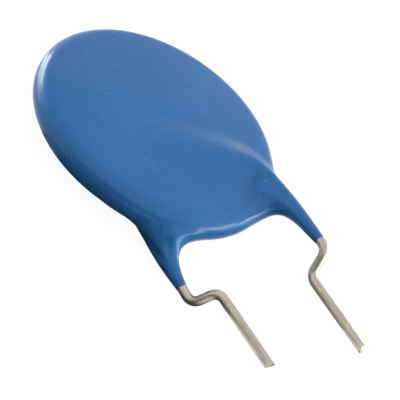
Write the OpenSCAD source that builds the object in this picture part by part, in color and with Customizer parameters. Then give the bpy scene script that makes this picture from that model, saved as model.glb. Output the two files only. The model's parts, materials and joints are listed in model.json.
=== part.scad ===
// Ceramic disc capacitor with two inside-kinked wire leads, lying on one face.
// Lengths are in millimetres. +Z is the axis of the disc and the pins run
// towards -Y. The front lead lies on the upper face and leaves at +X; the rear
// lead is the same form on the under face, turned half a turn about Y.
// The origin is the middle of the footprint, on the surface the part lies on.

/* [Ceramic and electrodes] */
// Diameter of the ceramic disc
ceramic_d = 19; // [15:0.5:24]
// Thickness of the ceramic disc
ceramic_t = 1.8; // [1.2:0.1:3]
// Broken edge of the ceramic disc
ceramic_chamfer = 0.25; // [0.05:0.05:0.4]
// Bare ceramic margin outside each silver electrode
electrode_margin = 0.8; // [0.4:0.1:2]
// Thickness of each fired silver electrode
electrode_t = 0.05; // [0.02:0.01:0.1]

/* [Epoxy coating] */
// Coating on the edge of the ceramic disc
rim_coat = 1.39; // [0.9:0.01:2]
// Coating on each face at the shoulder of the rim
face_coat = 0.45; // [0.35:0.05:0.8]
// How much fuller each face is in the middle than at the shoulder
crown = 0.45; // [0.2:0.05:0.8]
// How far the coating has sagged towards the leads
sag = 0.95; // [0.4:0.05:2]
// How much narrower the sagged end is, on the radius
sag_taper = 0.45; // [0.1:0.01:0.8]
// How far the disc sits to one side of the middle of its leads
disc_shift = 0.15; // [0:0.05:0.5]
// Coating round the wire in each leg
leg_coat = 0.3; // [0.15:0.01:0.4]
// Coating left round the wire where a leg ends
leg_end_coat = 0.02; // [0.02:0.01:0.1]
// Coating over the wire at its inner end
ridge_coat = 0.15; // [0.1:0.01:0.3]
// Length of the front leg below the disc
front_leg = 3.9; // [2.7:0.05:7]
// Length of the rear leg below the disc
rear_leg = 2.75; // [2.7:0.05:7]
// Distance from the disc at which a leg has its full coating
leg_full = 0.7; // [0.5:0.1:2.5]
// Slant of the ragged end of each leg, along the wire
leg_end_slant = 0.06; // [0:0.02:0.4]
// How far the fillet under each leg runs out from the disc
web_reach = 3.3; // [2.5:0.1:4.2]
// Depth of that fillet where it meets the disc
web_drop = 2.45; // [1.5:0.05:2.6]
// How far the fillet between the legs runs out from the disc
crotch_reach = 2; // [1.5:0.1:3]
// Width of the fillet between the legs where it meets the disc
crotch_width = 4.2; // [2:0.1:5]
// How far that fillet falls away from the face of the disc
crotch_sink = 0.9; // [0.6:0.1:2]

/* [Leads] */
// Diameter of the lead wire
wire_d = 0.8; // [0.6:0.05:1]
// Distance between the two pins
pin_pitch = 10; // [7.5:0.5:12.5]
// Distance between the two leads at the edge of the disc, before they splay
exit_spread = 11.1; // [9:0.1:12.5]
// How steeply each lead rises off its face, and splays, on its way out
lead_splay = 3.8; // [3:0.1:7]
// Length of wire that lies on the electrode, up to its bend
face_run = 9.5; // [6:0.25:11]
// Angle of that wire from the line through both pins
face_angle = 36; // [25:1:45]
// Bend radius at the edge of the disc, to the middle of the wire
face_bend_r = 2; // [1.5:0.1:3]
// How far inside the edge of the ceramic that bend has its corner
corner_inset = 0.6; // [0:0.1:1]
// Angle of each kink's slanted piece from the pin
kink_angle = 72; // [50:1:80]
// Bend radius in the kinks, to the middle of the wire
kink_bend_r = 1.02; // [0.9:0.02:1.2]
// Bare wire between the front leg and its kink
front_gap = 0.15; // [0.1:0.05:2]
// Bare wire between the rear leg and its kink
rear_gap = 0.7; // [0.1:0.05:2]
// Length of the straight front pin
front_pin = 6.9; // [3:0.05:12]
// Length of the straight rear pin
rear_pin = 6.55; // [3:0.05:12]
// Bevel round the cut end of each pin
pin_bevel = 0.12; // [0.04:0.01:0.2]

/* [Solder] */
// Solder between the wire and the electrode
solder_film = 0.06; // [0.03:0.01:0.1]
// Height of each solder mound
solder_h = 0.62; // [0.4:0.02:0.75]
// Width of each solder mound where it meets the electrode
solder_w = 2.4; // [1.6:0.1:3]
// Length of wire that the solder holds
solder_run = 5; // [3:0.25:6]

/* [Hidden] */

wire_r = wire_d / 2;
ceramic_r = ceramic_d / 2;
electrode_r = ceramic_r - electrode_margin;
// Height of each electrode's outer surface above the middle of the disc
electrode_top = ceramic_t / 2 + electrode_t;
// Height of the wire on the electrode
lead_z = electrode_top + solder_film + wire_r;
exit_x = exit_spread / 2;
pin_x = pin_pitch / 2;

// Coated disc: a round-rimmed lens, and a smaller one that has sagged to -Y
body_r = ceramic_r + rim_coat;
rim_r = electrode_top + face_coat;
sag_r = body_r - sag_taper;
body_low_y = -(sag + sag_r);
leg_r = wire_r + leg_coat;

// Ends of the coated legs, and of the bare wire above the kinks
front_end_y = body_low_y - front_leg;
rear_end_y = body_low_y - rear_leg;

// The wire's bend at the edge of the disc
corner_y = -sqrt(pow(ceramic_r - corner_inset, 2) - exit_x * exit_x);
face_turn = 90 - face_angle;
face_tangent = face_bend_r * tan(face_turn / 2);
inner_end = [
    exit_x - face_run * cos(face_angle),
    corner_y + face_run * sin(face_angle)
];

// The whole lead above its kink is turned about its inner end, away from the
// line of its pin: from -Y towards this direction [x, z]
offset = norm([exit_x - pin_x, lead_z]);
outward = [exit_x - pin_x, lead_z] / offset;
splay_axis = [-outward[1], 0, outward[0]];

// The kink brings the splayed wire back to the line of its pin
kink_roll = atan2(-lead_z, pin_x - exit_x);
kink_turn = kink_angle + lead_splay;
first_tangent = kink_bend_r * tan(kink_turn / 2);
last_tangent = kink_bend_r * tan(kink_angle / 2);
function kink_start(end_y, gap) =
    offset + (inner_end[1] - end_y + gap) * sin(lead_splay)
    - (exit_x - inner_end[0]) * outward[0] * (1 - cos(lead_splay));
function kink_reach(end_y, gap) =
    (kink_start(end_y, gap) + first_tangent * sin(lead_splay)) / sin(kink_angle);
function kink_slope(end_y, gap) = kink_reach(end_y, gap) - first_tangent - last_tangent;
// Distance along Y from the inner end of the wire to the straight pin
function kink_low(end_y, gap) =
    (inner_end[1] - end_y + gap + first_tangent) * cos(lead_splay)
    - (exit_x - inner_end[0]) * outward[0] * sin(lead_splay)
    + kink_reach(end_y, gap) * cos(kink_angle) + last_tangent;

// Where the legs meet the rim, at its middle plane
rim_y = -(sag + sqrt(sag_r * sag_r - exit_x * exit_x));

// Rings and sides of the two lofted legs
taper_rings = 8;
web_rings = 16;
bend_rings = 5;
ridge_rings = 7;
nose_rings = 5;
loft_sides = 28;
big = 4 * body_r;

// Where the frame's origin lies, from the middle of the ceramic disc
tip_y = inner_end[1] - max(
    kink_low(front_end_y, front_gap) + front_pin,
    kink_low(rear_end_y, rear_gap) + rear_pin
);
bend_rise = kink_bend_r * (1 - cos(lead_splay));
resting_z = max(
    (kink_start(rear_end_y, rear_gap) + bend_rise) * outward[1] + wire_r,
    max([for (s = leg_stations(rear_end_y), p = ring_points(s, 0)) p[2]])
);
frame_origin = [-disc_shift, (body_r + tip_y) / 2, -resting_z];

// Rises from 0 with a level start to 1 with a steep end, as a quarter ellipse
function fillet_rise(u) = 1 - sqrt(1 - pow(max(0, min(1, u)), 2));
function mix(a, b, t) = a + (b - a) * t;

// One ring of a leg: [x, y, heading, radius, flare, sink of the flare, drop]
function leg_station(y, end_y) =
    let(taper = min(1, (y - end_y) / (rim_y - leg_full - end_y)))
    let(r = mix(wire_r + leg_end_coat, leg_r, sin(90 * taper)))
    let(spread = fillet_rise(1 - (rim_y - y) / crotch_reach))
    let(web = fillet_rise(1 - (rim_y - y) / web_reach))
    [exit_x, y, 90, r, crotch_width * spread, crotch_sink * spread, web_drop * web];

// Rings from the rim over the shoulder, round the bend and along the face
function ridge_station(x, y, heading, along) =
    let(t = along / face_run)
    let(r = mix(leg_r, wire_r + ridge_coat, t))
    let(spread = pow(max(0, 1 - 2 * t), 2), web = pow(max(0, 1 - 5 * t), 2))
    [x, y, heading, r, crotch_width * spread, crotch_sink * spread, web_drop * web];

function bend_station(turn) =
    ridge_station(
        exit_x - face_bend_r * (1 - cos(turn)),
        corner_y - face_tangent + face_bend_r * sin(turn),
        90 + turn,
        face_tangent * turn / face_turn
    );

function run_station(along) =
    ridge_station(
        exit_x - along * cos(face_angle),
        corner_y + along * sin(face_angle),
        90 + face_turn,
        along
    );

// The ridge ends past the wire in a round nose that sinks into the face
function nose_station(turn) =
    let(end = run_station(face_run), r = end[3])
    [
        end[0] - r * sin(turn) * cos(face_angle),
        end[1] + r * sin(turn) * sin(face_angle),
        end[2], r * cos(turn), 0, 0, 0
    ];

function leg_stations(end_y) =
    let(web_y = rim_y - web_reach)
    concat(
        [for (i = [0:taper_rings - 1]) leg_station(mix(end_y, web_y, i / taper_rings), end_y)],
        [for (i = [0:web_rings]) leg_station(mix(web_y, rim_y, sin(90 * i / web_rings)), end_y)],
        [for (i = [0:bend_rings - 1]) bend_station(face_turn * i / bend_rings)],
        [for (i = [0:ridge_rings - 1]) run_station(mix(face_tangent, face_run, i / ridge_rings))],
        [for (i = [0:nose_rings - 1]) nose_station(80 * i / (nose_rings - 1))]
    );

// A point of the lead or its leg, turned with the splay
function splayed(p) =
    let(along = inner_end[1] - p[1])
    let(out = (p[0] - inner_end[0]) * outward[0] + (p[2] - lead_z) * outward[1])
    let(rise = along * sin(lead_splay) - out * (1 - cos(lead_splay)))
    [
        p[0] + rise * outward[0],
        inner_end[1] - along * cos(lead_splay) + out * sin(lead_splay),
        p[2] + rise * outward[1]
    ];

// The inner half of a ring flares out flat and falls away from the face
function ring_points(s, slant) = [
    for (i = [0:loft_sides - 1])
        let(a = 360 * i / loft_sides)
        let(inner = cos(a) < 0 ? pow(cos(a), 2) : 0)
        let(side = s[3] * cos(a) - s[4] * inner)
        let(lift = (s[3] + (sin(a) < 0 ? s[6] : 0)) * sin(a) - s[5] * inner)
        splayed([
            s[0] + side * sin(s[2]),
            s[1] - side * cos(s[2]) + slant * side,
            lead_z + lift
        ])
];

// Closed skin through rings of equally many points
module loft(rings) {
    n = len(rings[0]);
    last = len(rings) - 1;
    walls = [
        for (r = [0:last - 1], i = [0:n - 1])
            each [
                [r * n + i, r * n + (i + 1) % n, (r + 1) * n + i],
                [r * n + (i + 1) % n, (r + 1) * n + (i + 1) % n, (r + 1) * n + i]
            ]
    ];
    near_cap = [for (i = [0:n - 1]) n - 1 - i];
    far_cap = [for (i = [0:n - 1]) last * n + i];
    polyhedron([for (r = rings) each r], concat(walls, [near_cap, far_cap]));
}

// Coated leg of the front lead with the ridge that it draws over the face
module coated_leg(end_y) {
    stations = leg_stations(end_y);
    slant = leg_end_slant / wire_d;
    loft([for (i = [0:len(stations) - 1]) ring_points(stations[i], i == 0 ? slant : 0)]);
}

// Lens with a full round rim: two shallow crowns that run into the rim
module coated_disc(r) {
    core = r - rim_r;
    sphere_drop = (core * core - crown * crown) / (2 * crown);
    sphere_r = sphere_drop + rim_r + crown;
    lean = atan2(core, sphere_drop);
    rotate_extrude($fn = 144) {
        intersection() {
            union() {
                translate([core, 0]) circle(r = rim_r, $fn = 96);
                intersection() {
                    translate([0, -sphere_drop]) circle(r = sphere_r, $fn = 720);
                    translate([0, sphere_drop]) circle(r = sphere_r, $fn = 720);
                    translate([0, -big]) square([core + rim_r * sin(lean), 2 * big]);
                }
            }
            translate([0, -big]) square([big, 2 * big]);
        }
    }
}

module half_turn() {
    rotate([0, 180, 0]) children();
}

// Middle of the ceramic disc, as seen from the middle of the two leads
module on_disc() {
    translate([-disc_shift, 0, 0]) children();
}

module in_frame() {
    translate(-frame_origin) children();
}

// A straight length of wire along X, with what follows it at its end
module wire_run(length) {
    rotate([0, 90, 0]) cylinder(d = wire_d, h = length, $fn = 48);
    translate([length, 0, 0]) children();
}

function six_figures(v) =
    let(unit = v == 0 ? 1 : pow(10, floor(log(abs(v))) - 5))
    unit * round(v / unit);

// A turn in two steps: the second is what six figures leave of the first, so
// that the ends of two lengths of wire meet truly
module fine_turn(angle) {
    turned = atan2(six_figures(sin(angle)), six_figures(cos(angle)));
    rotate(angle) rotate(angle - turned) children();
}

// A bend of the wire in its own XY plane, with what follows it at its end
module wire_bend(radius, angle) {
    side = sign(angle);
    first = side > 0 ? -90 : 90 + angle;
    translate([0, side * radius, 0]) {
        rotate_extrude(start = first, angle = abs(angle), $fn = 160)
            translate([radius, 0]) rotate(-90) circle(d = wire_d, $fn = 48);
        fine_turn(angle) translate([0, -side * radius, 0]) children();
    }
}

// The cut end of a pin, with its bevel
module wire_tip() {
    rotate([0, 90, 0]) cylinder(r1 = wire_r, r2 = wire_r - pin_bevel, h = pin_bevel, $fn = 48);
}

// Bare and buried wire of the front lead, from its end on the electrode
module lead_wire(end_y, gap, pin) {
    leg_run = corner_y - face_tangent - (end_y - gap);
    translate([inner_end[0], inner_end[1], lead_z])
        rotate(a = lead_splay, v = splay_axis) rotate(-face_angle)
        wire_run(face_run - face_tangent)
        wire_bend(face_bend_r, -face_turn)
        wire_run(leg_run)
        rotate([kink_roll, 0, 0])
        wire_bend(kink_bend_r, kink_turn)
        wire_run(kink_slope(end_y, gap))
        wire_bend(kink_bend_r, -kink_angle)
        wire_run(pin - pin_bevel)
        wire_tip();
}

module ceramic_body() {
    flat_r = ceramic_r - ceramic_chamfer;
    half_flat = ceramic_t / 2 - ceramic_chamfer;
    rotate_extrude($fn = 144)
        polygon([
            [0, -ceramic_t / 2], [flat_r, -ceramic_t / 2], [ceramic_r, -half_flat],
            [ceramic_r, half_flat], [flat_r, ceramic_t / 2], [0, ceramic_t / 2]
        ]);
}

module electrode_film() {
    translate([0, 0, ceramic_t / 2]) cylinder(r = electrode_r, h = electrode_t, $fn = 144);
}

// Solder drawn up along the buried end of the wire, flat on the electrode
module solder_mound() {
    half_w = solder_w / 2;
    mound_r = (half_w * half_w + solder_h * solder_h) / (2 * solder_h);
    intersection() {
        translate([inner_end[0], inner_end[1], electrode_top + solder_h - mound_r])
            rotate(-face_angle) {
                sphere(r = mound_r, $fn = 96);
                rotate([0, 90, 0]) cylinder(r = mound_r, h = solder_run, $fn = 96);
                translate([solder_run, 0, 0]) sphere(r = mound_r, $fn = 96);
            }
        translate([-big, -big, electrode_top]) cube([2 * big, 2 * big, rim_r]);
    }
}

module ceramic_disc() {
    color([0.72, 0.62, 0.5]) in_frame() on_disc() ceramic_body();
}

module front_electrode() {
    color([0.8, 0.8, 0.78]) in_frame() on_disc() electrode_film();
}

module rear_electrode() {
    color([0.8, 0.8, 0.78]) in_frame() on_disc() half_turn() electrode_film();
}

module front_lead() {
    color([0.74, 0.73, 0.68]) in_frame() lead_wire(front_end_y, front_gap, front_pin);
}

module rear_lead() {
    color([0.74, 0.73, 0.68]) in_frame() half_turn() lead_wire(rear_end_y, rear_gap, rear_pin);
}

module front_solder() {
    color([0.66, 0.67, 0.68]) in_frame() difference() {
        solder_mound();
        lead_wire(front_end_y, front_gap, front_pin);
    }
}

module rear_solder() {
    color([0.66, 0.67, 0.68]) in_frame() half_turn() difference() {
        solder_mound();
        lead_wire(rear_end_y, rear_gap, rear_pin);
    }
}

module epoxy_coating() {
    color([0.25, 0.44, 0.69]) in_frame() difference() {
        union() {
            on_disc() coated_disc(body_r);
            on_disc() translate([0, -sag, 0]) coated_disc(sag_r);
            coated_leg(front_end_y);
            half_turn() coated_leg(rear_end_y);
        }
        on_disc() ceramic_body();
        on_disc() electrode_film();
        on_disc() half_turn() electrode_film();
        solder_mound();
        half_turn() solder_mound();
        lead_wire(front_end_y, front_gap, front_pin);
        half_turn() lead_wire(rear_end_y, rear_gap, rear_pin);
    }
}

ceramic_disc();
front_electrode();
rear_electrode();
front_lead();
rear_lead();
front_solder();
rear_solder();
epoxy_coating();
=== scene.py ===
"""Looks of a ceramic disc capacitor: a dipped epoxy coating over a ceramic disc and two kinked wires.

Every piece is modelled in millimetres about the middle of the two leads, with the
disc in the XY plane and the pins towards -Y, and is then put into the frame in metres.
"""
import json
import math
from collections import namedtuple

import bmesh
import bpy
import numpy as np
from bpy.props import FloatProperty, FloatVectorProperty, IntProperty, PointerProperty
from mathutils import Matrix, Vector


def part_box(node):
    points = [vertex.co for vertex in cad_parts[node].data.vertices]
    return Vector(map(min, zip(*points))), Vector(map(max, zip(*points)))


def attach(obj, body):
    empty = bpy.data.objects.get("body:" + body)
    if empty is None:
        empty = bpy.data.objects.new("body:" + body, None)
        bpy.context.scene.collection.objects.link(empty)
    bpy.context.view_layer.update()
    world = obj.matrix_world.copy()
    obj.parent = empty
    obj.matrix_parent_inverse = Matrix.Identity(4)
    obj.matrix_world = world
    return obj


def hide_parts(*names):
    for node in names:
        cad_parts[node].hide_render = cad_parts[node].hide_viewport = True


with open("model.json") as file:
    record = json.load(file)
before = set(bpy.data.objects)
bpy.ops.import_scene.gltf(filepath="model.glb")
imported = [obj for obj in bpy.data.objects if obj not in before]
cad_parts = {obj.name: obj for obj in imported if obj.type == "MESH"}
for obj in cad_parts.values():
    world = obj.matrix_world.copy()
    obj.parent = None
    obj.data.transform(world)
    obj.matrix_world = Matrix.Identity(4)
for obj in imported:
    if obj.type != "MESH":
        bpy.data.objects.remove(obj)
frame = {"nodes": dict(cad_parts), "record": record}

bl_info = {
    "name": "Ceramic disc capacitor",
    "version": (1, 0, 0),
    "blender": (4, 5, 0),
    "location": "3D View > Sidebar > Disc capacitor",
    "description": "Models the coating and the leads of a ceramic disc capacitor and sets its stage",
    "category": "Object",
}

MM = 0.001
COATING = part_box("epoxy_coating")
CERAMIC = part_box("ceramic_disc")
FRONT_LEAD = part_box("front_lead")
REAR_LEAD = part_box("rear_lead")
DISC_MIDDLE = (CERAMIC[0] + CERAMIC[1]) / 2
# The disc sits a little to one side of the middle of the two leads
LEADS_MIDDLE = DISC_MIDDLE + Vector((0.00015, 0, 0))
BODY_RADIUS = (COATING[1].x - COATING[0].x) / 2
WIRE_RADIUS = frame["record"]["mounts"][0]["dims"]["r_mm"] * MM
HALF_TURN = Matrix.Rotation(math.pi, 4, "Y")

# Sides of a leg, and its rings down to its fillets, along them and in the disc
LEG_SIDES = 56
LEG_RINGS, WEB_RINGS, ROOT_RINGS = 12, 40, 4
# Rings of a ridge round its bend and along its run
BEND_RINGS, RUN_RINGS = 12, 16
# Steps of a lens across a face, round the rim and round the disc
FACE_STEPS, RIM_STEPS, ROUND_STEPS = 24, 48, 160
# Steps in which the skin settles, how far a point may move in one, and steps of smoothing
SETTLE_STEPS, SETTLE_REACH, SMOOTHING_STEPS = 10, 0.2, 12
# One in so many rings of a leg is enough to measure distances from it
LEG_RING_STRIDE = 4
# Parts of a ridge's run by which its depth and its flare are full
DEPTH_BY, FLARE_BY = 0.4, 0.45
# In millimetres: spacing of the rings in the disc, and how far out the ridge starts
ROOT_STEP, RIDGE_START = 0.3, 0.6
# In millimetres: how ragged and how round the end of a leg's coating is
END_RAGGED, END_EDGE = 0.035, 0.04
# In millimetres: widths over which a leg's inside turns to its outside, and a rim to a face
SIDE_FADE, FACE_FADE = 0.6, 1.6
# In millimetres: how far from the rim a face starts, and how far into the disc smoothing starts
FACE_INSET, SMOOTHING_INSET = 0.4, 0.5
# How far back in millimetres, tilt and turn in degrees of the cuts at the tip of a pin
TIP_CUTS = ((0.1, 28, 200), (0.06, 38, 70), (0.04, 6, 0))


# ---------------------------------------------------------------- sizes and colours

def length(name, description, default):
    """A length in metres, shown in the scene's unit."""
    return FloatProperty(
        name=name, description=description, default=default, min=0.0, unit="LENGTH", precision=5
    )


def turn(name, description, degrees):
    """An angle, shown in degrees."""
    return FloatProperty(
        name=name, description=description, default=math.radians(degrees), subtype="ANGLE"
    )


def paint(name, description, default):
    """A linear colour."""
    return FloatVectorProperty(
        name=name, description=description, default=default, min=0.0, max=1.0,
        size=3, subtype="COLOR",
    )


class CoatingSizes(bpy.types.PropertyGroup):
    """Sizes of the dipped epoxy coating."""

    body_radius: length("Body radius", "Radius of the coated disc", BODY_RADIUS)
    rim_radius: length("Rim radius", "Radius of the round rim, half its thickness", 0.0014)
    crown: length("Crown", "How much fuller a face is in the middle", 0.00045)
    sag: length("Sag", "How far the coating has sagged towards the leads", 0.00095)
    sag_taper: length("Sag taper", "How much narrower the sagged end is", 0.00045)
    sag_blend: length("Sag blend", "Softness between the round disc and its sagged end", 0.0015)
    leg_radius: length("Leg radius", "Radius of a full leg", 0.0007)
    leg_end_coat: length("Leg end coat", "Coating round the wire where a leg ends", 0.00002)
    front_leg: length("Front leg", "Length of the front leg below the disc", 0.0039)
    rear_leg: length("Rear leg", "Length of the rear leg below the disc", 0.00275)
    leg_full: length("Leg full", "Distance from the disc of a leg's full coating", 0.0007)
    ridge_sink: length("Ridge sink", "How far the ridge sinks into the face at its inner end", 0.00095)
    ridge_depth: length("Ridge depth", "How far below the wire its axis lies, which broadens it", 0.0014)
    web_reach: length("Web reach", "How far the fillet under a leg runs out", 0.0033)
    web_drop: length("Web drop", "Depth of that fillet at the disc", 0.00245)
    crotch_reach: length("Crotch reach", "How far the fillet between the legs runs out", 0.002)
    crotch_width: length("Crotch width", "Width of that fillet at the disc", 0.0042)
    crotch_sink: length("Crotch sink", "How far that fillet falls away from the face", 0.0009)
    outer_blend: length("Outer blend", "Softness of the crease outside a leg", 0.0006)
    inner_blend: length("Inner blend", "Softness of the crease inside a leg", 0.0035)
    under_blend: length("Under blend", "Softness added to the outer crease under a leg", 0.0024)
    ridge_spread: FloatProperty(
        name="Ridge spread", description="How much gentler the ridge falls away on its inner side",
        default=1.3, min=0.0)
    ridge_blend: length("Ridge blend", "Softness of the ridge that a wire draws on a face", 0.0016)
    skin_step: length("Skin step", "Spacing of the points of the skin", 0.00012)


class LeadSizes(bpy.types.PropertyGroup):
    """Sizes of the two kinked leads."""

    wire_radius: length("Wire radius", "Radius of the wire", WIRE_RADIUS)
    exit_x: length("Exit", "Distance of a lead from the middle, before it splays", 0.00555)
    lead_height: length("Height", "Height of the wire above the middle of the disc at its inner end",
                        CERAMIC[1].z - DISC_MIDDLE.z + 0.00051)
    splay: turn("Splay", "How steeply a lead rises off its face on its way out", 3.8)
    pin_x: length("Pin", "Distance of a pin from the middle", 0.005)
    face_run: length("Face run", "Length of wire on the face, up to its bend", 0.0095)
    face_angle: turn("Face angle", "Angle of that wire from the line through both pins", 36)
    face_bend: length("Face bend", "Bend radius at the edge of the disc", 0.002)
    corner_inset: length("Corner inset", "How far inside the ceramic the bend has its corner", 0.0006)
    kink_angle: turn("Kink angle", "Angle of the slanted piece of each kink", 72)
    kink_bend: length("Kink bend", "Bend radius in the kinks", 0.00102)
    front_gap: length("Front gap", "Bare wire between the front leg and its kink", 0.00015)
    rear_gap: length("Rear gap", "Bare wire between the rear leg and its kink", 0.0007)
    sides: IntProperty(name="Sides", description="Sides of the wire", default=36, min=8)


class FinishColours(bpy.types.PropertyGroup):
    """Linear colours of the finishes."""

    epoxy: paint("Epoxy", "Main blue of the coating", (0.024, 0.156, 0.425))
    epoxy_deep: paint("Deep epoxy", "Blue where the coating is denser", (0.018, 0.133, 0.375))
    epoxy_speck: paint("Dark speck", "Colour of the fine dark specks", (0.01, 0.045, 0.14))
    epoxy_blemish: paint("Pale blemish", "Colour of the few pale blemishes", (0.2, 0.36, 0.56))
    tin: paint("Tin", "Warm grey of the tinned wire", (0.4, 0.37, 0.3))
    tin_bright: paint("Bright tin", "Tin along the drawn streaks", (0.59, 0.56, 0.475))
    tin_dull: paint("Dull tin", "Oxidised tin in pits and nicks", (0.15, 0.135, 0.1))
    ceramic: paint("Ceramic", "Fired ceramic of the disc", (0.47, 0.34, 0.2))
    ceramic_deep: paint("Deep ceramic", "Darker grain of the ceramic", (0.36, 0.25, 0.14))
    silver: paint("Silver", "Fired silver of the electrodes", (0.78, 0.77, 0.73))
    silver_deep: paint("Deep silver", "Burnt patches of the silver", (0.6, 0.58, 0.52))
    solder: paint("Solder", "Frozen solder", (0.62, 0.63, 0.64))
    solder_deep: paint("Deep solder", "Frost lines of the solder", (0.42, 0.43, 0.45))


class StageSizes(bpy.types.PropertyGroup):
    """Light levels and the camera."""

    sky: FloatProperty(name="Sky", description="Light of the white dome on dull surfaces",
                       default=0.2, min=0.0)
    lens: FloatProperty(name="Lens", description="Focal length of the camera",
                        default=149.903, unit="CAMERA")
    azimuth: turn("Azimuth", "Where the camera stands, from -Y towards +X", 299.4825)
    elevation: turn("Elevation", "How high the camera stands", 37.3304)
    roll: turn("Roll", "How far the camera is turned about its line of sight", 36.133)
    distance: length("Distance", "From the aim to the camera", 0.133605)
    aim: FloatVectorProperty(name="Aim", description="The point in the middle of the view", size=3,
                             default=(-0.0005386, -0.0008713, 0.0027), subtype="TRANSLATION",
                             unit="LENGTH", precision=5)


GROUPS = {
    "coating_sizes": CoatingSizes,
    "lead_sizes": LeadSizes,
    "finish_colours": FinishColours,
    "stage_sizes": StageSizes,
}


class Millimetres:
    """Reads a group's lengths in millimetres, and leaves its other values alone."""

    def __init__(self, group):
        for key, prop in group.bl_rna.properties.items():
            if key not in ("rna_type", "name"):
                value = getattr(group, key)
                setattr(self, key, value / MM if prop.unit == "LENGTH" else value)


# ---------------------------------------------------------------- shapes

def new_object(name, data):
    """An object in the scene."""
    thing = bpy.data.objects.new(name, data)
    bpy.context.scene.collection.objects.link(thing)
    return thing


def new_piece(name, mesh, material, slot, *nodes):
    """An object at the origin that rides on the part and stands for the CAD nodes."""
    mesh.name = name
    mesh.materials.clear()
    mesh.materials.append(material)
    piece = new_object(name, mesh)
    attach(piece, "root")
    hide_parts(*nodes)


def into_frame(mesh):
    """Millimetres about the middle of the leads become metres in the frame."""
    mesh.transform(Matrix.Translation(LEADS_MIDDLE) @ Matrix.Scale(MM, 4))


def fresh(result, kind):
    """What an extrusion or a spin has just made, of one kind."""
    return [item for item in result if isinstance(item, kind)]


class RingForm:
    """A mesh that grows from one ring of points, a ring at a time."""

    def __init__(self, sides, radius, place):
        self.mesh = bmesh.new()
        self.around = self.mesh.verts.layers.float.new("around")
        self.along = self.mesh.verts.layers.float.new("along")
        self.run = self.mesh.verts.layers.float_vector.new("run")
        ring = bmesh.ops.create_circle(self.mesh, segments=sides, radius=1.0)["verts"]
        for point in ring:
            point[self.around] = math.atan2(point.co.y, point.co.x)
        bmesh.ops.scale(self.mesh, verts=ring, vec=(radius,) * 3)
        bmesh.ops.transform(self.mesh, verts=ring, matrix=place)
        self.ring = ring
        self.edges = list(self.mesh.edges)
        self.distance = 0.0

    def _take(self, result, step):
        self.ring = fresh(result, bmesh.types.BMVert)
        inside = set(self.ring)
        self.edges = [e for e in fresh(result, bmesh.types.BMEdge)
                      if e.verts[0] in inside and e.verts[1] in inside]
        self.distance += step
        for point in self.ring:
            point[self.along] = self.distance

    def extrude(self, step=0.0):
        """Another ring in the place of the last one."""
        self._take(bmesh.ops.extrude_edge_only(self.mesh, edges=self.edges)["geom"], step)

    def spin(self, centre, axis, angle, step):
        """Another ring, turned about an axis."""
        self._take(bmesh.ops.spin(
            self.mesh, geom=self.ring + self.edges, cent=centre, axis=axis, angle=angle,
            steps=1, use_merge=False, use_duplicate=False)["geom_last"], step)

    def close(self):
        """A face over the last ring."""
        bmesh.ops.edgeloop_fill(self.mesh, edges=self.edges)


class WireForm(RingForm):
    """Wire that is drawn along its path: straight runs are extruded and bends are spun."""

    def __init__(self, sides, radius, pose):
        across = Matrix(((0, 0, 1, 0), (1, 0, 0, 0), (0, 1, 0, 0), (0, 0, 0, 1)))
        super().__init__(sides, radius, pose @ across)
        self.radius = radius
        self.pose = pose
        bmesh.ops.edgeloop_fill(self.mesh, edges=self.edges)

    def straight(self, reach, step=0.5):
        """A straight run, in short lengths."""
        pieces = max(1, round(reach / step))
        for _ in range(pieces):
            self.extrude(reach / pieces)
            bmesh.ops.translate(
                self.mesh, verts=self.ring, vec=self.pose.to_3x3() @ Vector((reach / pieces, 0, 0)))
        self.pose = self.pose @ Matrix.Translation((reach, 0, 0))

    def bend(self, radius, angle, step=math.radians(5)):
        """A bend to the left for a positive angle."""
        pieces = max(1, round(abs(angle) / step))
        middle = Vector((0, math.copysign(radius, angle), 0))
        centre = self.pose @ middle
        axis = self.pose.to_3x3() @ Vector((0, 0, 1))
        for _ in range(pieces):
            self.spin(centre, axis, angle / pieces, radius * abs(angle) / pieces)
        self.pose = (self.pose @ Matrix.Translation(middle) @ Matrix.Rotation(angle, 4, "Z")
                     @ Matrix.Translation(-middle))

    def roll(self, angle):
        """Turns the plane of the next bend."""
        self.pose = self.pose @ Matrix.Rotation(angle, 4, "X")


def put_in_order(mesh):
    """Sorts edges and faces by their points, since the operators make them in a varying order."""
    mesh.verts.index_update()

    def rank(item):
        ends = [point.index for point in item.verts]
        return min(ends) * len(mesh.verts) + max(ends)

    mesh.edges.sort(key=rank)
    mesh.faces.sort(key=rank)


def cut_end(form, back, tilt, spin):
    """Cuts the end of the wire along a slanted plane and closes it."""
    put_in_order(form.mesh)
    pose = form.pose @ Matrix.Translation((-back, 0, 0)) @ Matrix.Rotation(spin, 4, "X")
    normal = pose.to_3x3() @ Vector((math.cos(tilt), math.sin(tilt), 0))
    cut = bmesh.ops.bisect_plane(
        form.mesh, geom=form.mesh.verts[:] + form.mesh.edges[:] + form.mesh.faces[:],
        plane_co=pose.translation, plane_no=normal, clear_outer=True)["geom_cut"]
    edges = fresh(cut, bmesh.types.BMEdge)
    for face in bmesh.ops.edgeloop_fill(form.mesh, edges=edges)["faces"]:
        face.smooth = False
    for edge in edges:
        edge.smooth = False


# A ring of a leg or a ridge: its middle, its heading and how deep it lies, its radius, how far it
# flares and sinks on its inner side, and how far it hangs down
Station = namedtuple("Station", "x y heading depth radius flare sink drop")


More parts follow.
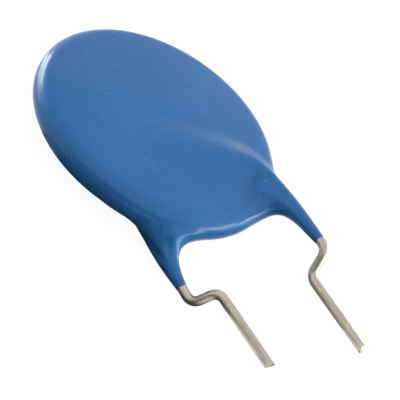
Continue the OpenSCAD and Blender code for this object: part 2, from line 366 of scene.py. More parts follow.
class Layout:
    """The runs of the leads and the forms of the coating, in millimetres, from their sizes."""

    def __init__(self, scene):
        self.coat = Millimetres(scene.coating_sizes)
        self.lead = Millimetres(scene.lead_sizes)
        coat, lead = self.coat, self.lead
        self.disc_x = (DISC_MIDDLE.x - LEADS_MIDDLE.x) / MM
        ceramic_radius = (CERAMIC[1].x - CERAMIC[0].x) / 2 / MM
        sag_radius = coat.body_radius - coat.sag_taper
        self.sag_radius = sag_radius
        self.rim_y = -(coat.sag + math.sqrt(sag_radius ** 2 - lead.exit_x ** 2))
        self.corner_y = -math.sqrt((ceramic_radius - lead.corner_inset) ** 2 - lead.exit_x ** 2)
        self.face_turn = math.pi / 2 - lead.face_angle
        self.face_tangent = lead.face_bend * math.tan(self.face_turn / 2)
        self.inner_end = Vector((lead.exit_x - lead.face_run * math.cos(lead.face_angle),
                                 self.corner_y + lead.face_run * math.sin(lead.face_angle),
                                 lead.lead_height))
        self.splay = Matrix.Rotation(
            lead.splay, 4, Vector((-lead.lead_height, 0, lead.exit_x - lead.pin_x)))
        low = -(coat.sag + sag_radius)
        self.leg_end = {"front": low - coat.front_leg, "rear": low - coat.rear_leg}
        self.kink_y = {"front": self.leg_end["front"] - lead.front_gap,
                       "rear": self.leg_end["rear"] - lead.rear_gap}
        self.tip_y = {"front": (FRONT_LEAD[0].y - LEADS_MIDDLE.y) / MM,
                      "rear": (REAR_LEAD[0].y - LEADS_MIDDLE.y) / MM}

    def draw_wire(self, side):
        """The wire from its end on the face to its cut tip, as the front lead lies."""
        lead = self.lead
        start = Matrix.Translation(self.inner_end) @ self.splay
        wire = WireForm(lead.sides, lead.wire_radius,
                        start @ Matrix.Rotation(-lead.face_angle, 4, "Z"))
        wire.straight(lead.face_run - self.face_tangent)
        wire.bend(lead.face_bend, -self.face_turn)
        wire.straight(self.corner_y - self.face_tangent - self.kink_y[side])
        # The kink brings the splayed wire back to the line of its pin
        first_turn = lead.kink_angle + lead.splay
        first_tangent = lead.kink_bend * math.tan(first_turn / 2)
        last_tangent = lead.kink_bend * math.tan(lead.kink_angle / 2)
        place = wire.pose.translation
        offset = math.hypot(place.x - lead.pin_x, place.z) + first_tangent * math.sin(lead.splay)
        wire.roll(math.atan2(-lead.lead_height, lead.pin_x - lead.exit_x))
        wire.bend(lead.kink_bend, first_turn)
        slant = offset / math.sin(lead.kink_angle) - first_tangent - last_tangent
        wire.straight(slant, step=0.15)
        wire.bend(lead.kink_bend, -lead.kink_angle)
        wire.straight(wire.pose.translation.y - self.tip_y[side], step=0.3)
        wire.close()
        return wire

    def leg_stations(self, side):
        """The rings of a leg, from its end into the disc."""
        coat, lead = self.coat, self.lead
        end_y = self.leg_end[side]
        web_y = self.rim_y - coat.web_reach
        tip_radius = lead.wire_radius + coat.leg_end_coat

        def rise(part):
            return 1 - math.sqrt(1 - max(0.0, min(1.0, part)) ** 2)

        def leg(y):
            taper = min(1.0, (y - end_y) / (self.rim_y - coat.leg_full - end_y))
            radius = tip_radius + (coat.leg_radius - tip_radius) * math.sin(math.pi / 2 * taper)
            spread = rise(1 - (self.rim_y - y) / coat.crotch_reach)
            web = rise(1 - (self.rim_y - y) / coat.web_reach)
            return Station(lead.exit_x, y, math.pi / 2, 0.0, radius, coat.crotch_width * spread,
                           coat.crotch_sink * spread, coat.web_drop * web)

        stations = [leg(end_y + (web_y - end_y) * i / LEG_RINGS) for i in range(LEG_RINGS)]
        stations += [leg(web_y + (self.rim_y - web_y) * math.sin(math.pi / 2 * i / WEB_RINGS))
                     for i in range(WEB_RINGS + 1)]
        # Past the rim the leg runs straight on into the disc, where it stops hanging down
        root = stations[-1]
        for i in range(1, ROOT_RINGS + 1):
            fade = (1 - i / ROOT_RINGS) ** 2
            stations.append(root._replace(y=self.rim_y + ROOT_STEP * i, drop=root.drop * fade))
        return stations

    def ridge_stations(self):
        """The rings of the ridge that the buried wire draws over the face, from the rim inwards."""
        coat, lead = self.coat, self.lead

        def ridge(x, y, heading, reach):
            part = reach / lead.face_run
            radius = coat.leg_radius + (lead.wire_radius - coat.ridge_sink - coat.leg_radius) * part
            depth = coat.ridge_depth * math.sin(math.pi / 2 * min(1.0, part / DEPTH_BY))
            flare = (radius + depth) * coat.ridge_spread * min(1.0, part / FLARE_BY) ** 2
            return Station(x, y, heading, depth, radius + depth, flare, 0.0, 0.0)

        stations = [ridge(lead.exit_x, self.rim_y - RIDGE_START, math.pi / 2, 0.0)]
        for i in range(BEND_RINGS):
            angle = self.face_turn * i / BEND_RINGS
            stations.append(ridge(
                lead.exit_x - lead.face_bend * (1 - math.cos(angle)),
                self.corner_y - self.face_tangent + lead.face_bend * math.sin(angle),
                math.pi / 2 + angle, self.face_tangent * i / BEND_RINGS))
        heading = math.pi / 2 + self.face_turn
        ahead = Vector((-math.cos(lead.face_angle), math.sin(lead.face_angle)))
        corner = Vector((lead.exit_x, self.corner_y))
        for i in range(RUN_RINGS + 1):
            reach = self.face_tangent + (lead.face_run - self.face_tangent) * i / RUN_RINGS
            stations.append(ridge(*(corner + ahead * reach), heading, reach))
        return stations

    def place(self, point):
        """A point of the lead, turned with the splay."""
        return self.inner_end + self.splay.to_3x3() @ (Vector(point) - self.inner_end)

    def loft(self, stations, side, ragged=False):
        """A closed form through the rings of a leg or of its ridge. A leg's end is a little ragged."""
        form = RingForm(LEG_SIDES, 1.0, Matrix.Identity(4))
        first = True
        for x, y, heading, depth, radius, flare, sink, drop in stations:
            if not first:
                form.extrude(1.0)
            for point in form.ring:
                angle = point[form.around]
                inner = math.cos(angle) ** 2 if math.cos(angle) < 0 else 0.0
                across = radius * math.cos(angle) - flare * inner
                under = drop if math.sin(angle) < 0 else 0.0
                lift = (radius + under) * math.sin(angle) - sink * inner
                shift = ragged_end(across, angle) if first and ragged else 0.0
                point.co = self.place((x + across * math.sin(heading),
                                       y - across * math.cos(heading) + shift,
                                       self.lead.lead_height - depth + lift))
            if first:
                form.close()
                first = False
        form.close()
        bmesh.ops.recalc_face_normals(form.mesh, faces=form.mesh.faces)
        if side == "rear":
            bmesh.ops.transform(form.mesh, matrix=HALF_TURN, verts=form.mesh.verts)
        return form.mesh

    def lead_field(self, points, side):
        """Distance from the skin round a lead and the direction outwards, as the front lead lies."""
        legs = self.leg_stations(side)[:-ROOT_RINGS:LEG_RING_STRIDE]
        ridges = self.ridge_stations()[1:]
        rings = legs + ridges
        # On its flared inner side a ridge falls away more gently, so distances there count for less
        gentle = [0.0] * len(legs) + [ring.flare / (ring.radius + ring.flare) for ring in ridges]
        middles = np.array([self.place((ring.x, ring.y, self.lead.lead_height - ring.depth))
                            for ring in rings])
        flat = self.on_face(points)
        gap = np.full(len(points), 1e3)
        away = np.zeros((len(points), 3))
        for i, (a, b, first, last) in enumerate(zip(middles, middles[1:], rings, rings[1:])):
            part = np.clip((points - a) @ (b - a) / ((b - a) @ (b - a)), 0, 1)
            off = points - a - part[:, None] * (b - a)
            inwards = self.splay.to_3x3() @ Vector(
                (-math.sin(first.heading), math.cos(first.heading), 0))
            less = gentle[i] + part * (gentle[i + 1] - gentle[i])
            less *= flat * np.maximum(off @ inwards, 0)
            off -= less[:, None] * np.array(inwards)
            reach = np.linalg.norm(off, axis=1) + 1e-9
            beside = reach - first.radius - part * (last.radius - first.radius)
            nearer = beside < gap
            gap = np.where(nearer, beside, gap)
            away = np.where(nearer[:, None], off / reach[:, None], away)
        # The coating ends past a plane across the wire, with a round edge
        level = self.unsplayed(points)
        x, z = level[:, 0] - self.lead.exit_x, level[:, 2] - self.lead.lead_height
        beyond = rings[0].y + ragged_end(x, np.arctan2(z, x)) - level[:, 1]
        sideways, along = np.maximum(gap + END_EDGE, 0), np.maximum(beyond + END_EDGE, 0)
        inside = sideways + along == 0
        whole = (np.hypot(sideways, along) + np.minimum(np.maximum(gap, beyond) + END_EDGE, 0)
                 - END_EDGE)
        sideways = np.where(inside, gap >= beyond, sideways)[:, None]
        along = np.where(inside, gap < beyond, along)[:, None]
        down = self.splay.to_3x3() @ Vector((0, -1, 0))
        away = sideways * away + along * np.array(down)
        away /= np.linalg.norm(away, axis=1)[:, None] + 1e-9
        return whole, away

    def softness(self, points):
        """How softly a lead's skin joins the disc at each point, and how much of that where flat."""
        coat = self.coat
        level = self.unsplayed(points)
        outside = self.outer_side(points)
        x, z = level[:, 0] - self.lead.exit_x, level[:, 2] - self.lead.lead_height
        # 1 right under the wire and 0 beside and above it
        under = np.clip(0.3 - 1.3 * z / (np.hypot(x, z) + 0.2), 0, 1)
        soft = ((coat.outer_blend + coat.under_blend * under) * outside
                + coat.inner_blend * (1 - outside))
        on_face = self.on_face(points)
        return soft + (coat.ridge_blend - soft) * on_face, on_face

    def lens_form(self, radius, middle_y):
        """A lens with a full round rim: its outline is spun from one point, and then turned."""
        coat = self.coat
        core, drop, _, lean = self.lens(radius)
        mesh = bmesh.new()
        end = [mesh.verts.new((0.0, 0.0, coat.rim_radius + coat.crown))]
        for centre, angle, steps in (((0, 0, -drop), lean, FACE_STEPS),
                                     ((core, 0, 0), math.pi - 2 * lean, RIM_STEPS),
                                     ((0, 0, drop), lean, FACE_STEPS)):
            last = bmesh.ops.spin(mesh, geom=end, cent=centre, axis=(0, 1, 0), angle=angle,
                                  steps=steps, use_duplicate=False)["geom_last"]
            end = fresh(last, bmesh.types.BMVert)
        bmesh.ops.spin(mesh, geom=mesh.verts[:] + mesh.edges[:], cent=(0, 0, 0), axis=(0, 0, 1),
                       angle=2 * math.pi, steps=ROUND_STEPS, use_merge=True, use_duplicate=False)
        bmesh.ops.remove_doubles(mesh, verts=mesh.verts, dist=0.002)
        bmesh.ops.translate(mesh, verts=mesh.verts, vec=(self.disc_x, middle_y, 0))
        bmesh.ops.recalc_face_normals(mesh, faces=mesh.faces)
        return mesh

    def lens(self, radius):
        """The core's radius, how far below the middle the face's centre lies, its radius, its lean."""
        coat = self.coat
        core = radius - coat.rim_radius
        drop = (core ** 2 - coat.crown ** 2) / (2 * coat.crown)
        return core, drop, drop + coat.rim_radius + coat.crown, math.atan2(core, drop)

    def lens_field(self, points, radius, middle_y):
        """Distance of each point from the skin of a lens, and the direction outwards."""
        core, drop, face_radius, lean = self.lens(radius)
        x, y = points[:, 0] - self.disc_x, points[:, 1] - middle_y
        out = np.hypot(x, y) + 1e-9
        up = np.abs(points[:, 2])
        on_face = np.arctan2(out, up + drop) < lean
        across = np.where(on_face, out, out - core)
        above = np.where(on_face, up + drop, up)
        reach = np.hypot(across, above) + 1e-9
        gap = reach - np.where(on_face, face_radius, self.coat.rim_radius)
        sign = np.where(points[:, 2] < 0, -1.0, 1.0)
        away = np.stack([across / reach * x / out, across / reach * y / out, above / reach * sign], 1)
        return gap, away

    def unsplayed(self, points):
        """Points with the splay of the front lead taken back."""
        start = np.array(self.inner_end)
        return (points - start) @ np.array(self.splay.to_3x3()) + start

    def outer_side(self, points):
        """1 outside a leg's wire and 0 inside it, for points as the front lead lies."""
        lead = self.lead
        level = self.unsplayed(points)
        x, y = level[:, 0] - lead.exit_x, level[:, 1] - self.corner_y
        across = np.maximum(x, x * math.sin(lead.face_angle) + y * math.cos(lead.face_angle))
        part = np.clip(across / SIDE_FADE + 0.5, 0, 1)
        return part * part * (3 - 2 * part)

    def on_face(self, points):
        """1 on the flat of the face under a leg's wire and 0 at the rim, as the front lead lies."""
        reach = np.hypot(points[:, 0], points[:, 1])
        part = np.clip((self.sag_radius - FACE_INSET - reach) / FACE_FADE, 0, 1) * (points[:, 2] > 0)
        return part * part * (3 - 2 * part)


def ragged_end(across, angle):
    """How far the ragged end of a leg's coating strays along the wire, in millimetres."""
    return END_RAGGED * (3.7 * across + np.sin(3 * angle + 1))


def blended(first, second, softness, level=0.0):
    """A soft union of two skins. Skins that run side by side are left as they are at level 0."""
    (gap_a, away_a), (gap_b, away_b) = first, second
    turned = np.clip(1 - np.sum(away_a * away_b, 1), 0, 1)
    width = np.maximum(softness * (turned + level * (1 - turned)), 1e-3)
    part = np.clip(0.5 + 0.5 * (gap_b - gap_a) / width, 0, 1)
    gap = gap_b + (gap_a - gap_b) * part - width * part * (1 - part)
    away = away_b + (away_a - away_b) * part[:, None]
    away /= np.linalg.norm(away, axis=1)[:, None] + 1e-9
    return gap, away


def joined(*forms):
    """One mesh with all of the forms in it."""
    whole = bmesh.new()
    for form in forms:
        part = bpy.data.meshes.new("part")
        form.to_mesh(part)
        whole.from_mesh(part)
        bpy.data.meshes.remove(part)
    return whole


def one_skin(form, step):
    """One closed skin of even small faces round overlapping forms."""
    mesh = bpy.data.meshes.new("skin")
    form.to_mesh(mesh)
    holder = new_object("skin", mesh)
    remesh = holder.modifiers.new("Skin", "REMESH")
    remesh.mode = "VOXEL"
    remesh.voxel_size = step
    remesh.adaptivity = 0.0
    bpy.context.view_layer.update()
    dense = holder.evaluated_get(bpy.context.evaluated_depsgraph_get())
    skin = bpy.data.meshes.new_from_object(dense)
    bpy.data.objects.remove(holder)
    bpy.data.meshes.remove(mesh)
    return skin


def settle_skin(layout, skin):
    """Moves every point of the skin onto the softly joined disc and legs, and smooths the disc."""
    coat = layout.coat
    points = np.empty(len(skin.vertices) * 3)
    skin.vertices.foreach_get("co", points)
    points = points.reshape(-1, 3)
    for _ in range(SETTLE_STEPS):
        gap, away = blended(layout.lens_field(points, coat.body_radius, 0.0),
                            layout.lens_field(points, layout.sag_radius, -coat.sag), coat.sag_blend)
        for side, turned in (("front", (1.0, 1.0, 1.0)), ("rear", (-1.0, 1.0, -1.0))):
            lead_gap, lead_away = layout.lead_field(points * turned, side)
            gap, away = blended((gap, away), (lead_gap, lead_away * turned),
                                *layout.softness(points * turned))
        points -= away * np.clip(gap, -SETTLE_REACH, SETTLE_REACH)[:, None]
    skin.vertices.foreach_set("co", points.ravel())
    form = bmesh.new()
    form.from_mesh(skin)
    disc = [point for point in form.verts if point.co.y > layout.rim_y + SMOOTHING_INSET]
    for _ in range(SMOOTHING_STEPS):
        bmesh.ops.smooth_vert(form, verts=disc, factor=0.5, use_axis_x=True, use_axis_y=True,
                              use_axis_z=True)
    form.to_mesh(skin)
    form.free()


# ---------------------------------------------------------------- finishes

class Nodes:
    """Short hand for building a node tree."""

    def __init__(self, tree):
        self.tree = tree

    def add(self, kind, settings=None, **inputs):
        """A node with its settings, and with values or sockets on its inputs."""
        node = self.tree.nodes.new(kind)
        for key, value in (settings or {}).items():
            setattr(node, key, value)
        for key, value in inputs.items():
            self.feed(node.inputs[key.replace("_", " ")], value)
        return node

    def feed(self, socket, value):
        """Links a socket, or sets a plain value."""
        if isinstance(value, bpy.types.NodeSocket):
            self.tree.links.new(value, socket)
        else:
            socket.default_value = value

    def maths(self, operation, a, b=0.0):
        """A sum, product or other operation on two values."""
        node = self.add("ShaderNodeMath", {"operation": operation})
        self.feed(node.inputs[0], a)
        self.feed(node.inputs[1], b)
        return node.outputs[0]

    def between(self, value, low, high, to_low=0.0, to_high=1.0):
        """A smooth step from one value to another."""
        node = self.add("ShaderNodeMapRange", {"interpolation_type": "SMOOTHSTEP"})
        for key, part in (("Value", value), ("From Min", low), ("From Max", high),
                          ("To Min", to_low), ("To Max", to_high)):
            self.feed(node.inputs[key], part)
        return node.outputs["Result"]

    def mixed(self, amount, first, second):
        """A mix of two colours."""
        node = self.add("ShaderNodeMix", {"data_type": "RGBA"})
        self.feed(node.inputs["Factor"], amount)
        self.feed(node.inputs["A"], first)
        self.feed(node.inputs["B"], second)
        return node.outputs["Result"]

    def bump(self, shader, strength, distance, height):
        """Feeds a shader's normal from a height."""
        node = self.add("ShaderNodeBump", Strength=strength, Distance=distance, Height=height)
        self.feed(shader["Normal"], node.outputs["Normal"])

    def group(self, tree, **inputs):
        """The outputs of a shared node group that is given these inputs."""
        node = self.tree.nodes.new("ShaderNodeGroup")
        node.node_tree = tree
        for key, value in inputs.items():
            self.feed(node.inputs[key.replace("_", " ")], value)
        return node.outputs


def new_group(name, inputs, outputs):
    """A shader node group with named inputs and outputs."""
    tree = bpy.data.node_groups.new(name, "ShaderNodeTree")
    for key, kind, value in inputs:
        socket = tree.interface.new_socket(key, in_out="INPUT", socket_type=kind)
        if value is not None:
            socket.default_value = value
    for key, kind in outputs:
        tree.interface.new_socket(key, in_out="OUTPUT", socket_type=kind)
    nodes = Nodes(tree)
    return nodes, nodes.add("NodeGroupInput").outputs, nodes.add("NodeGroupOutput").inputs


def colour4(colour):
    """A colour with full alpha, as sockets take it."""
    return (*colour, 1.0)


def tone_drift():
    """Slow and fine drift between two colours."""
    nodes, given, out = new_group("Tone drift", [
        ("Vector", "NodeSocketVector", None), ("First", "NodeSocketColor", None),
        ("Second", "NodeSocketColor", None), ("Slow Scale", "NodeSocketFloat", 300.0),
        ("Fine Scale", "NodeSocketFloat", 3000.0), ("Fine Share", "NodeSocketFloat", 0.4),
    ], [("Color", "NodeSocketColor"), ("Value", "NodeSocketFloat")])
    slow = nodes.add("ShaderNodeTexNoise", Vector=given["Vector"], Scale=given["Slow Scale"],
                     Detail=2.0, Roughness=0.55)
    fine = nodes.add("ShaderNodeTexNoise", Vector=given["Vector"], Scale=given["Fine Scale"],
                     Detail=3.0, Roughness=0.6)
    share = given["Fine Share"]
    rest = nodes.maths("SUBTRACT", 1.0, share)
    value = nodes.maths("ADD", nodes.maths("MULTIPLY", fine.outputs["Fac"], share),
                        nodes.maths("MULTIPLY", slow.outputs["Fac"], rest))
    part = nodes.between(value, 0.36, 0.64)
    nodes.feed(out["Color"], nodes.mixed(part, given["First"], given["Second"]))
    nodes.feed(out["Value"], part)
    return nodes.tree


def sparse_specks():
    """Round specks of one size, thinned out to a few."""
    nodes, given, out = new_group("Sparse specks", [
        ("Vector", "NodeSocketVector", None), ("Scale", "NodeSocketFloat", 1000.0),
        ("Size", "NodeSocketFloat", 0.2), ("Share", "NodeSocketFloat", 0.2),
    ], [("Mask", "NodeSocketFloat")])
    cells = nodes.add("ShaderNodeTexVoronoi", {"feature": "F1"}, Vector=given["Vector"],
                      Scale=given["Scale"], Randomness=1.0)
    parts = nodes.add("ShaderNodeSeparateColor", Color=cells.outputs["Color"])
    kept = nodes.maths("LESS_THAN", parts.outputs["Red"], given["Share"])
    reach = nodes.maths("MULTIPLY", given["Size"], nodes.maths("ADD", parts.outputs["Green"], 0.5))
    spot = nodes.between(cells.outputs["Distance"], nodes.maths("MULTIPLY", reach, 0.4), reach, 1.0, 0.0)
    nodes.feed(out["Mask"], nodes.maths("MULTIPLY", kept, spot))
    return nodes.tree


def skin_relief():
    """Height of a cast or drawn skin: slow waves with fine grain on them."""
    nodes, given, out = new_group("Skin relief", [
        ("Vector", "NodeSocketVector", None), ("Wave Scale", "NodeSocketFloat", 200.0),
        ("Grain Scale", "NodeSocketFloat", 3000.0), ("Grain Share", "NodeSocketFloat", 0.1),
    ], [("Height", "NodeSocketFloat")])
    wave = nodes.add("ShaderNodeTexNoise", Vector=given["Vector"], Scale=given["Wave Scale"],
                     Detail=1.0, Roughness=0.4)
    grain = nodes.add("ShaderNodeTexNoise", Vector=given["Vector"], Scale=given["Grain Scale"],
                      Detail=2.0, Roughness=0.5)
    nodes.feed(out["Height"], nodes.maths(
        "ADD", wave.outputs["Fac"], nodes.maths("MULTIPLY", grain.outputs["Fac"], given["Grain Share"])))
    return nodes.tree


EFFECTS = {"tone_drift": tone_drift, "sparse_specks": sparse_specks, "skin_relief": skin_relief}


def effect(name):
    """A shared node group, built once."""
    key = name.replace("_", " ").capitalize()
    return bpy.data.node_groups.get(key) or EFFECTS[name]()


def empty_tree(holder):
    """The emptied node tree of a new material or world."""
    holder.use_nodes = True
    holder.node_tree.nodes.clear()
    return Nodes(holder.node_tree)


def new_material(name, **plain):
    """A material with one Principled BSDF, its plain values set on its own sockets."""
    material = bpy.data.materials.new(name)
    nodes = empty_tree(material)
    shader = nodes.add("ShaderNodeBsdfPrincipled", **plain)
    nodes.add("ShaderNodeOutputMaterial", Surface=shader.outputs["BSDF"])
    return material, nodes, shader.inputs


def centred(nodes, scale=(1.0, 1.0, 1.0)):
    """Object coordinates, from the middle of the disc."""
    where = nodes.add("ShaderNodeTexCoord").outputs["Object"]
    return nodes.add("ShaderNodeMapping", Vector=where, Scale=scale,
                     Location=-Vector(DISC_MIDDLE) * Vector(scale)).outputs["Vector"]


def epoxy_finish(colours):
    """Glossy dipped epoxy, with fine specks, a few pale blemishes and an orange-peel skin."""
    material, nodes, shader = new_material("Blue_epoxy", IOR=1.5, Specular_IOR_Level=0.3)
    place = centred(nodes)
    tone = nodes.group(effect("tone_drift"), Vector=place, First=colour4(colours.epoxy),
                       Second=colour4(colours.epoxy_deep), Slow_Scale=130.0, Fine_Scale=2600.0,
                       Fine_Share=0.55)
    dark = nodes.group(effect("sparse_specks"), Vector=place, Scale=1500.0, Size=0.22, Share=0.05)
    pale = nodes.group(effect("sparse_specks"), Vector=place, Scale=420.0, Size=0.1, Share=0.05)
    colour = nodes.mixed(nodes.maths("MULTIPLY", dark["Mask"], 0.75), tone["Color"],
                         colour4(colours.epoxy_speck))
    colour = nodes.mixed(nodes.maths("MULTIPLY", pale["Mask"], 0.7), colour,
                         colour4(colours.epoxy_blemish))
    nodes.feed(shader["Base Color"], colour)
    nodes.feed(shader["Roughness"], nodes.between(tone["Value"], 0.0, 1.0, 0.19, 0.26))
    relief = nodes.group(effect("skin_relief"), Vector=place, Wave_Scale=330.0, Grain_Scale=2600.0,
                         Grain_Share=0.12)
    height = nodes.maths("SUBTRACT", relief["Height"], nodes.maths("MULTIPLY", dark["Mask"], 0.08))
    nodes.bump(shader, 0.35, 0.00006, height)
    return material


def tin_finish(colours):
    """Tinned wire with drawn streaks along it, dull pits and satin gloss."""
    material, nodes, shader = new_material("Tinned_wire", Metallic=1.0)
    run = nodes.add("ShaderNodeAttribute", {"attribute_name": "run"}).outputs["Vector"]
    drawn = nodes.add("ShaderNodeMapping", Vector=run, Scale=(1.0, 1.0, 0.08)).outputs["Vector"]
    grain = nodes.add("ShaderNodeMapping", Vector=run, Scale=(1.0, 1.0, 0.7)).outputs["Vector"]
    streak = nodes.group(effect("tone_drift"), Vector=drawn, First=colour4(colours.tin),
                         Second=colour4(colours.tin_bright), Slow_Scale=2.6, Fine_Scale=9.0,
                         Fine_Share=0.5)
    pits = nodes.group(effect("sparse_specks"), Vector=grain, Scale=9.0, Size=0.3, Share=0.12)
    colour = nodes.mixed(nodes.maths("MULTIPLY", pits["Mask"], 0.6), streak["Color"],
                         colour4(colours.tin_dull))
    # The cut ends are duller
    tip = nodes.between(nodes.add("ShaderNodeSeparateXYZ", Vector=run).outputs["Z"], -0.2, -0.08,
                        0.0, 0.6)
    colour = nodes.mixed(tip, colour, colour4(colours.tin_dull))
    nodes.feed(shader["Base Color"], colour)
    nodes.feed(shader["Roughness"], nodes.between(streak["Value"], 0.0, 1.0, 0.44, 0.32))
    relief = nodes.group(effect("skin_relief"), Vector=grain, Wave_Scale=1.6, Grain_Scale=11.0,
                         Grain_Share=0.35)
    height = nodes.maths("ADD", relief["Height"], nodes.maths("MULTIPLY", streak["Value"], 0.3))
    nodes.bump(shader, 0.5, 0.00002, height)
    return material


def inner_finish(name, first, second, metallic, rough, scales, bump):
    """A finish of an inner part: drifting tone, fine grain and a little relief."""
    material, nodes, shader = new_material(name, Metallic=metallic)
    place = centred(nodes)
    tone = nodes.group(effect("tone_drift"), Vector=place, First=colour4(first),
                       Second=colour4(second), Slow_Scale=scales[0], Fine_Scale=scales[1],
                       Fine_Share=0.5)
    nodes.feed(shader["Base Color"], tone["Color"])
    nodes.feed(shader["Roughness"], nodes.between(tone["Value"], 0.0, 1.0, *rough))
    relief = nodes.group(effect("skin_relief"), Vector=place, Wave_Scale=scales[0],
                         Grain_Scale=scales[1], Grain_Share=0.5)
    nodes.bump(shader, 0.4, bump, relief["Height"])
    return material


# ---------------------------------------------------------------- operators

class CAPACITOR_OT_dip_coating(bpy.types.Operator):
    """Model the epoxy coating as one smooth skin over the disc and both legs"""

    bl_idname = "capacitor.dip_coating"
    bl_label = "Dip the coating"

    def execute(self, context):
        layout = Layout(context.scene)
        coat = layout.coat
        legs = [layout.loft(layout.leg_stations(side), side, True) for side in ("front", "rear")]
        ridges = [layout.loft(layout.ridge_stations(), side) for side in ("front", "rear")]
        lenses = [layout.lens_form(coat.body_radius, 0.0),
                  layout.lens_form(layout.sag_radius, -coat.sag)]
        skin = one_skin(joined(*lenses, *legs, *ridges), coat.skin_step)
        settle_skin(layout, skin)
        into_frame(skin)
        skin.polygons.foreach_set("use_smooth", [True] * len(skin.polygons))
        new_piece("Epoxy_skin", skin, epoxy_finish(context.scene.finish_colours), "epoxy",
                  "epoxy_coating")
        return {"FINISHED"}


class CAPACITOR_OT_draw_wires(bpy.types.Operator):
    """Model both leads as drawn, bent and cut wire"""

    bl_idname = "capacitor.draw_wires"
    bl_label = "Draw the wires"

    def execute(self, context):
        layout = Layout(context.scene)
        material = tin_finish(context.scene.finish_colours)
        for side in ("front", "rear"):
            wire = layout.draw_wire(side)
            for face in wire.mesh.faces:
                face.smooth = True
            for back, tilt, spin in TIP_CUTS:
                cut_end(wire, back, math.radians(tilt), math.radians(spin))
            radius = wire.radius
            for point in wire.mesh.verts:
                angle = point[wire.around]
                point[wire.run] = (radius * math.cos(angle), radius * math.sin(angle),
                                   point[wire.along] - wire.distance)
            if side == "rear":
                bmesh.ops.transform(wire.mesh, matrix=HALF_TURN, verts=wire.mesh.verts)
            bmesh.ops.recalc_face_normals(wire.mesh, faces=wire.mesh.faces)
            put_in_order(wire.mesh)
            mesh = bpy.data.meshes.new("wire")
            wire.mesh.to_mesh(mesh)
            into_frame(mesh)
            new_piece(side.capitalize() + "_wire", mesh, material, "tinned_wire", side + "_lead")
        return {"FINISHED"}


class CAPACITOR_OT_finish_inner_parts(bpy.types.Operator):
    """Give the ceramic, the electrodes and the solder their finishes"""

    bl_idname = "capacitor.finish_inner_parts"
    bl_label = "Finish the inner parts"

    def execute(self, context):
        tint = context.scene.finish_colours
        finishes = {
            "ceramic_disc": inner_finish("Fired_ceramic", tint.ceramic, tint.ceramic_deep, 0.0,
                                         (0.75, 0.9), (240.0, 4000.0), 0.00002),
            "electrode": inner_finish("Fired_silver", tint.silver, tint.silver_deep, 1.0,
                                      (0.35, 0.5), (400.0, 6000.0), 0.000005),
            "solder": inner_finish("Frozen_solder", tint.solder, tint.solder_deep, 1.0,
                                   (0.25, 0.42), (700.0, 5000.0), 0.00002),
        }
        for name, node in frame["nodes"].items():
            for key, material in finishes.items():
                if key in name:
                    node.data.materials.clear()
                    node.data.materials.append(material)
        return {"FINISHED"}


# Heights in metres of the floor, just under the part, and of the cards that lie on it
FLOOR_Z, CARD_Z = -0.00002, -0.00001
# The floor's glow to the eye, and its greys under shadows and to dull light
FLOOR_GLOW, FLOOR_SHADED, FLOOR_UNSEEN = 0.93, 0.14, 0.2
# Distance in metres of the lamps
LAMP_REACH = 0.3
# Lamps: name, azimuth and elevation in degrees, size in metres, share of full light
LAMPS = (
    ("Back_panel", 193, 8, (0.2, 0.14), 0.9),
    ("Side_panel", 53, 10, (0.46, 0.14), 1.35),
    ("Top_panel", 0, 65, (0.5, 0.5), 0.96),
)
# Cards on the floor: name, size and middle in metres, grey tone, glow
FLOOR_CARDS = (
    ("Dim_strip", (0.198, 0.003), (-0.101, 0.0085), 0.6, 0.0),
    ("Dark_strip", (0.198, 0.0175), (-0.101, -0.00175), 0.1, 0.0),
    # The strip under the legs is painted shade: a grey sheet, seen only in gloss, that stands in for the
    # floor's shade under and between the legs
    ("Grey_strip", (0.014, 0.009), (0.005, -0.01), 0.4, 0.0),
    ("Bright_strip", (0.014, 0.016), (-0.0095, 0.031), 0.8, 5.0),
)
# Standing cards: name, size in metres, the point that each faces, azimuth and elevation in
# degrees, distance in metres, grey tone, glow
STANDING_CARDS = (
    ("Dark_flag", (0.36, 0.14), (0, 0, 0.068), 303, 0, 0.2, 0.18, 0.0),
    ("Back_card", (0.016, 0.007), (-0.0093, 0.0126, 0.0025), 177, 5, 0.026, 0.8, 10.0),
    ("Side_card", (0.04, 0.0075), (0, -0.005, 0.004), 47, 6, 0.026, 0.8, 6.5),
)


def white_for_sight(nodes, seen, unseen):
    """Mixes a shader for rays that see, glossy and clear ones among them, with one for dull light."""
    path = nodes.add("ShaderNodeLightPath").outputs
    sight = nodes.maths("MAXIMUM", path["Is Camera Ray"],
                        nodes.maths("MAXIMUM", path["Is Glossy Ray"], path["Is Transmission Ray"]))
    mix = nodes.add("ShaderNodeMixShader")
    nodes.feed(mix.inputs[0], sight)
    nodes.feed(mix.inputs[1], unseen)
    nodes.feed(mix.inputs[2], seen)
    return mix.outputs[0]


def white_world(strength):
    """A white dome that lights dull surfaces at its own strength."""
    world = bpy.data.worlds.new("White_dome")
    nodes = empty_tree(world)
    seen = nodes.add("ShaderNodeBackground", Color=(1, 1, 1, 1), Strength=1.0).outputs[0]
    unseen = nodes.add("ShaderNodeBackground", Color=(1, 1, 1, 1), Strength=strength).outputs[0]
    nodes.add("ShaderNodeOutputWorld", Surface=white_for_sight(nodes, seen, unseen))
    return world


def floor_finish():
    """White to the eye with the object's shadow on it, and pale grey to dull light."""
    material = bpy.data.materials.new("Pale_floor")
    nodes = empty_tree(material)
    glow = nodes.add("ShaderNodeEmission", Color=(1, 1, 1, 1), Strength=FLOOR_GLOW).outputs[0]
    shaded = nodes.add("ShaderNodeBsdfDiffuse", Color=colour4((FLOOR_SHADED,) * 3)).outputs[0]
    seen = nodes.add("ShaderNodeAddShader")
    nodes.feed(seen.inputs[0], glow)
    nodes.feed(seen.inputs[1], shaded)
    unseen = nodes.add("ShaderNodeBsdfDiffuse", Color=colour4((FLOOR_UNSEEN,) * 3)).outputs[0]
    nodes.add("ShaderNodeOutputMaterial", Surface=white_for_sight(nodes, seen.outputs[0], unseen))
    return material


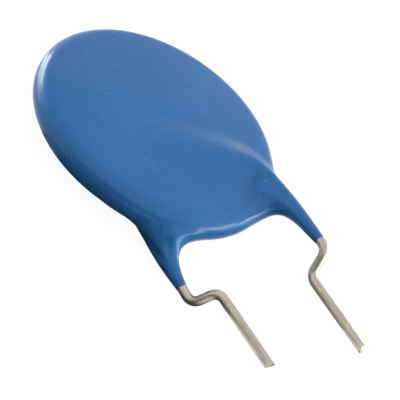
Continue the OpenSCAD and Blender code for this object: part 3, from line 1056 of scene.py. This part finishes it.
def flat_card(name, size, place, material):
    """A flat rectangle of the stage, placed by a matrix."""
    mesh = bmesh.new()
    bmesh.ops.create_grid(mesh, x_segments=1, y_segments=1, size=0.5)
    bmesh.ops.scale(mesh, vec=(size[0], size[1], 1), verts=mesh.verts)
    bmesh.ops.transform(mesh, matrix=place, verts=mesh.verts)
    data = bpy.data.meshes.new(name)
    mesh.to_mesh(data)
    data.materials.append(material)
    card = new_object(name, data)
    return card


def gloss_card(name, size, place, tone, glow):
    """A card that only shows in gloss."""
    material, _, _ = new_material(name, Base_Color=colour4((tone,) * 3), Roughness=1.0,
                                  Specular_IOR_Level=0.0, Emission_Color=(1, 1, 1, 1),
                                  Emission_Strength=glow)
    card = flat_card(name, size, place, material)
    card.visible_camera = card.visible_diffuse = card.visible_shadow = False


def facing(middle, around, up, reach):
    """A place at an azimuth and an elevation in degrees, whose Z axis points away from the middle."""
    turned, raised = math.radians(around), math.radians(up)
    away = Vector((math.sin(turned) * math.cos(raised), -math.cos(turned) * math.cos(raised),
                   math.sin(raised)))
    return (Matrix.Translation(middle + away * reach)
            @ away.to_track_quat("Z", "Y").to_matrix().to_4x4())


def soft_lamp(name, middle, around, up, size, share):
    """A lamp that gives a share of full light to what faces it, hidden from sight and from gloss."""
    data = bpy.data.lights.new(name, "AREA")
    data.shape = "RECTANGLE"
    data.size, data.size_y = size
    data.energy = share * (math.pi * LAMP_REACH) ** 2
    lamp = new_object(name, data)
    lamp.matrix_world = facing(middle, around, up, LAMP_REACH)
    lamp.visible_camera = lamp.visible_glossy = False


class CAPACITOR_OT_set_stage(bpy.types.Operator):
    """Set the floor, the white dome, the lamps, the cards and the camera"""

    bl_idname = "capacitor.set_stage"
    bl_label = "Set the stage"

    def execute(self, context):
        scene = context.scene
        stage = scene.stage_sizes
        scene.world = white_world(stage.sky)
        flat_card("Floor", (4.0, 4.0), Matrix.Translation((0, 0, FLOOR_Z)), floor_finish())
        middle = Vector(DISC_MIDDLE)
        for name, around, up, size, share in LAMPS:
            soft_lamp(name, middle, around, up, size, share)
        for name, size, place, tone, glow in FLOOR_CARDS:
            gloss_card(name, size, Matrix.Translation((*place, CARD_Z)), tone, glow)
        for name, size, faced, around, up, reach, tone, glow in STANDING_CARDS:
            gloss_card(name, size, facing(Vector(faced), around, up, reach), tone, glow)
        data = bpy.data.cameras.new("Camera")
        data.lens = stage.lens
        data.sensor_width = 36.0
        data.clip_start, data.clip_end = 0.005, 10.0
        camera = new_object("Camera", data)
        camera.matrix_world = facing(
            Vector(stage.aim), math.degrees(stage.azimuth), math.degrees(stage.elevation),
            stage.distance) @ Matrix.Rotation(stage.roll, 4, "Z")
        scene.camera = camera
        scene.view_settings.view_transform = "Standard"
        return {"FINISHED"}


STEPS = (
    CAPACITOR_OT_dip_coating,
    CAPACITOR_OT_draw_wires,
    CAPACITOR_OT_finish_inner_parts,
    CAPACITOR_OT_set_stage,
)


class CAPACITOR_PT_panel(bpy.types.Panel):
    """Steps and sizes of the disc capacitor"""

    bl_idname = "CAPACITOR_PT_panel"
    bl_label = "Disc capacitor"
    bl_space_type = "VIEW_3D"
    bl_region_type = "UI"
    bl_category = "Disc capacitor"

    def draw(self, context):
        for step in STEPS:
            self.layout.operator(step.bl_idname)
        for key in GROUPS:
            group = getattr(context.scene, key)
            box = self.layout.box()
            box.label(text=key.replace("_", " ").capitalize())
            for name in group.bl_rna.properties.keys():
                if name not in ("rna_type", "name"):
                    box.prop(group, name)


def register():
    for kind in (*GROUPS.values(), *STEPS, CAPACITOR_PT_panel):
        bpy.utils.register_class(kind)
    for key, kind in GROUPS.items():
        setattr(bpy.types.Scene, key, PointerProperty(type=kind))


def unregister():
    for key in GROUPS:
        delattr(bpy.types.Scene, key)
    for kind in reversed((*GROUPS.values(), *STEPS, CAPACITOR_PT_panel)):
        bpy.utils.unregister_class(kind)


def plain(bounds):
    return [[float(value) for value in corner] for corner in bounds]


def main():
    """Registers the add-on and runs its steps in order."""
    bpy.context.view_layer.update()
    register()
    bpy.ops.capacitor.dip_coating()
    bpy.ops.capacitor.draw_wires()
    bpy.ops.capacitor.finish_inner_parts()
    bpy.ops.capacitor.set_stage()


if __name__ == "__main__":
    main()
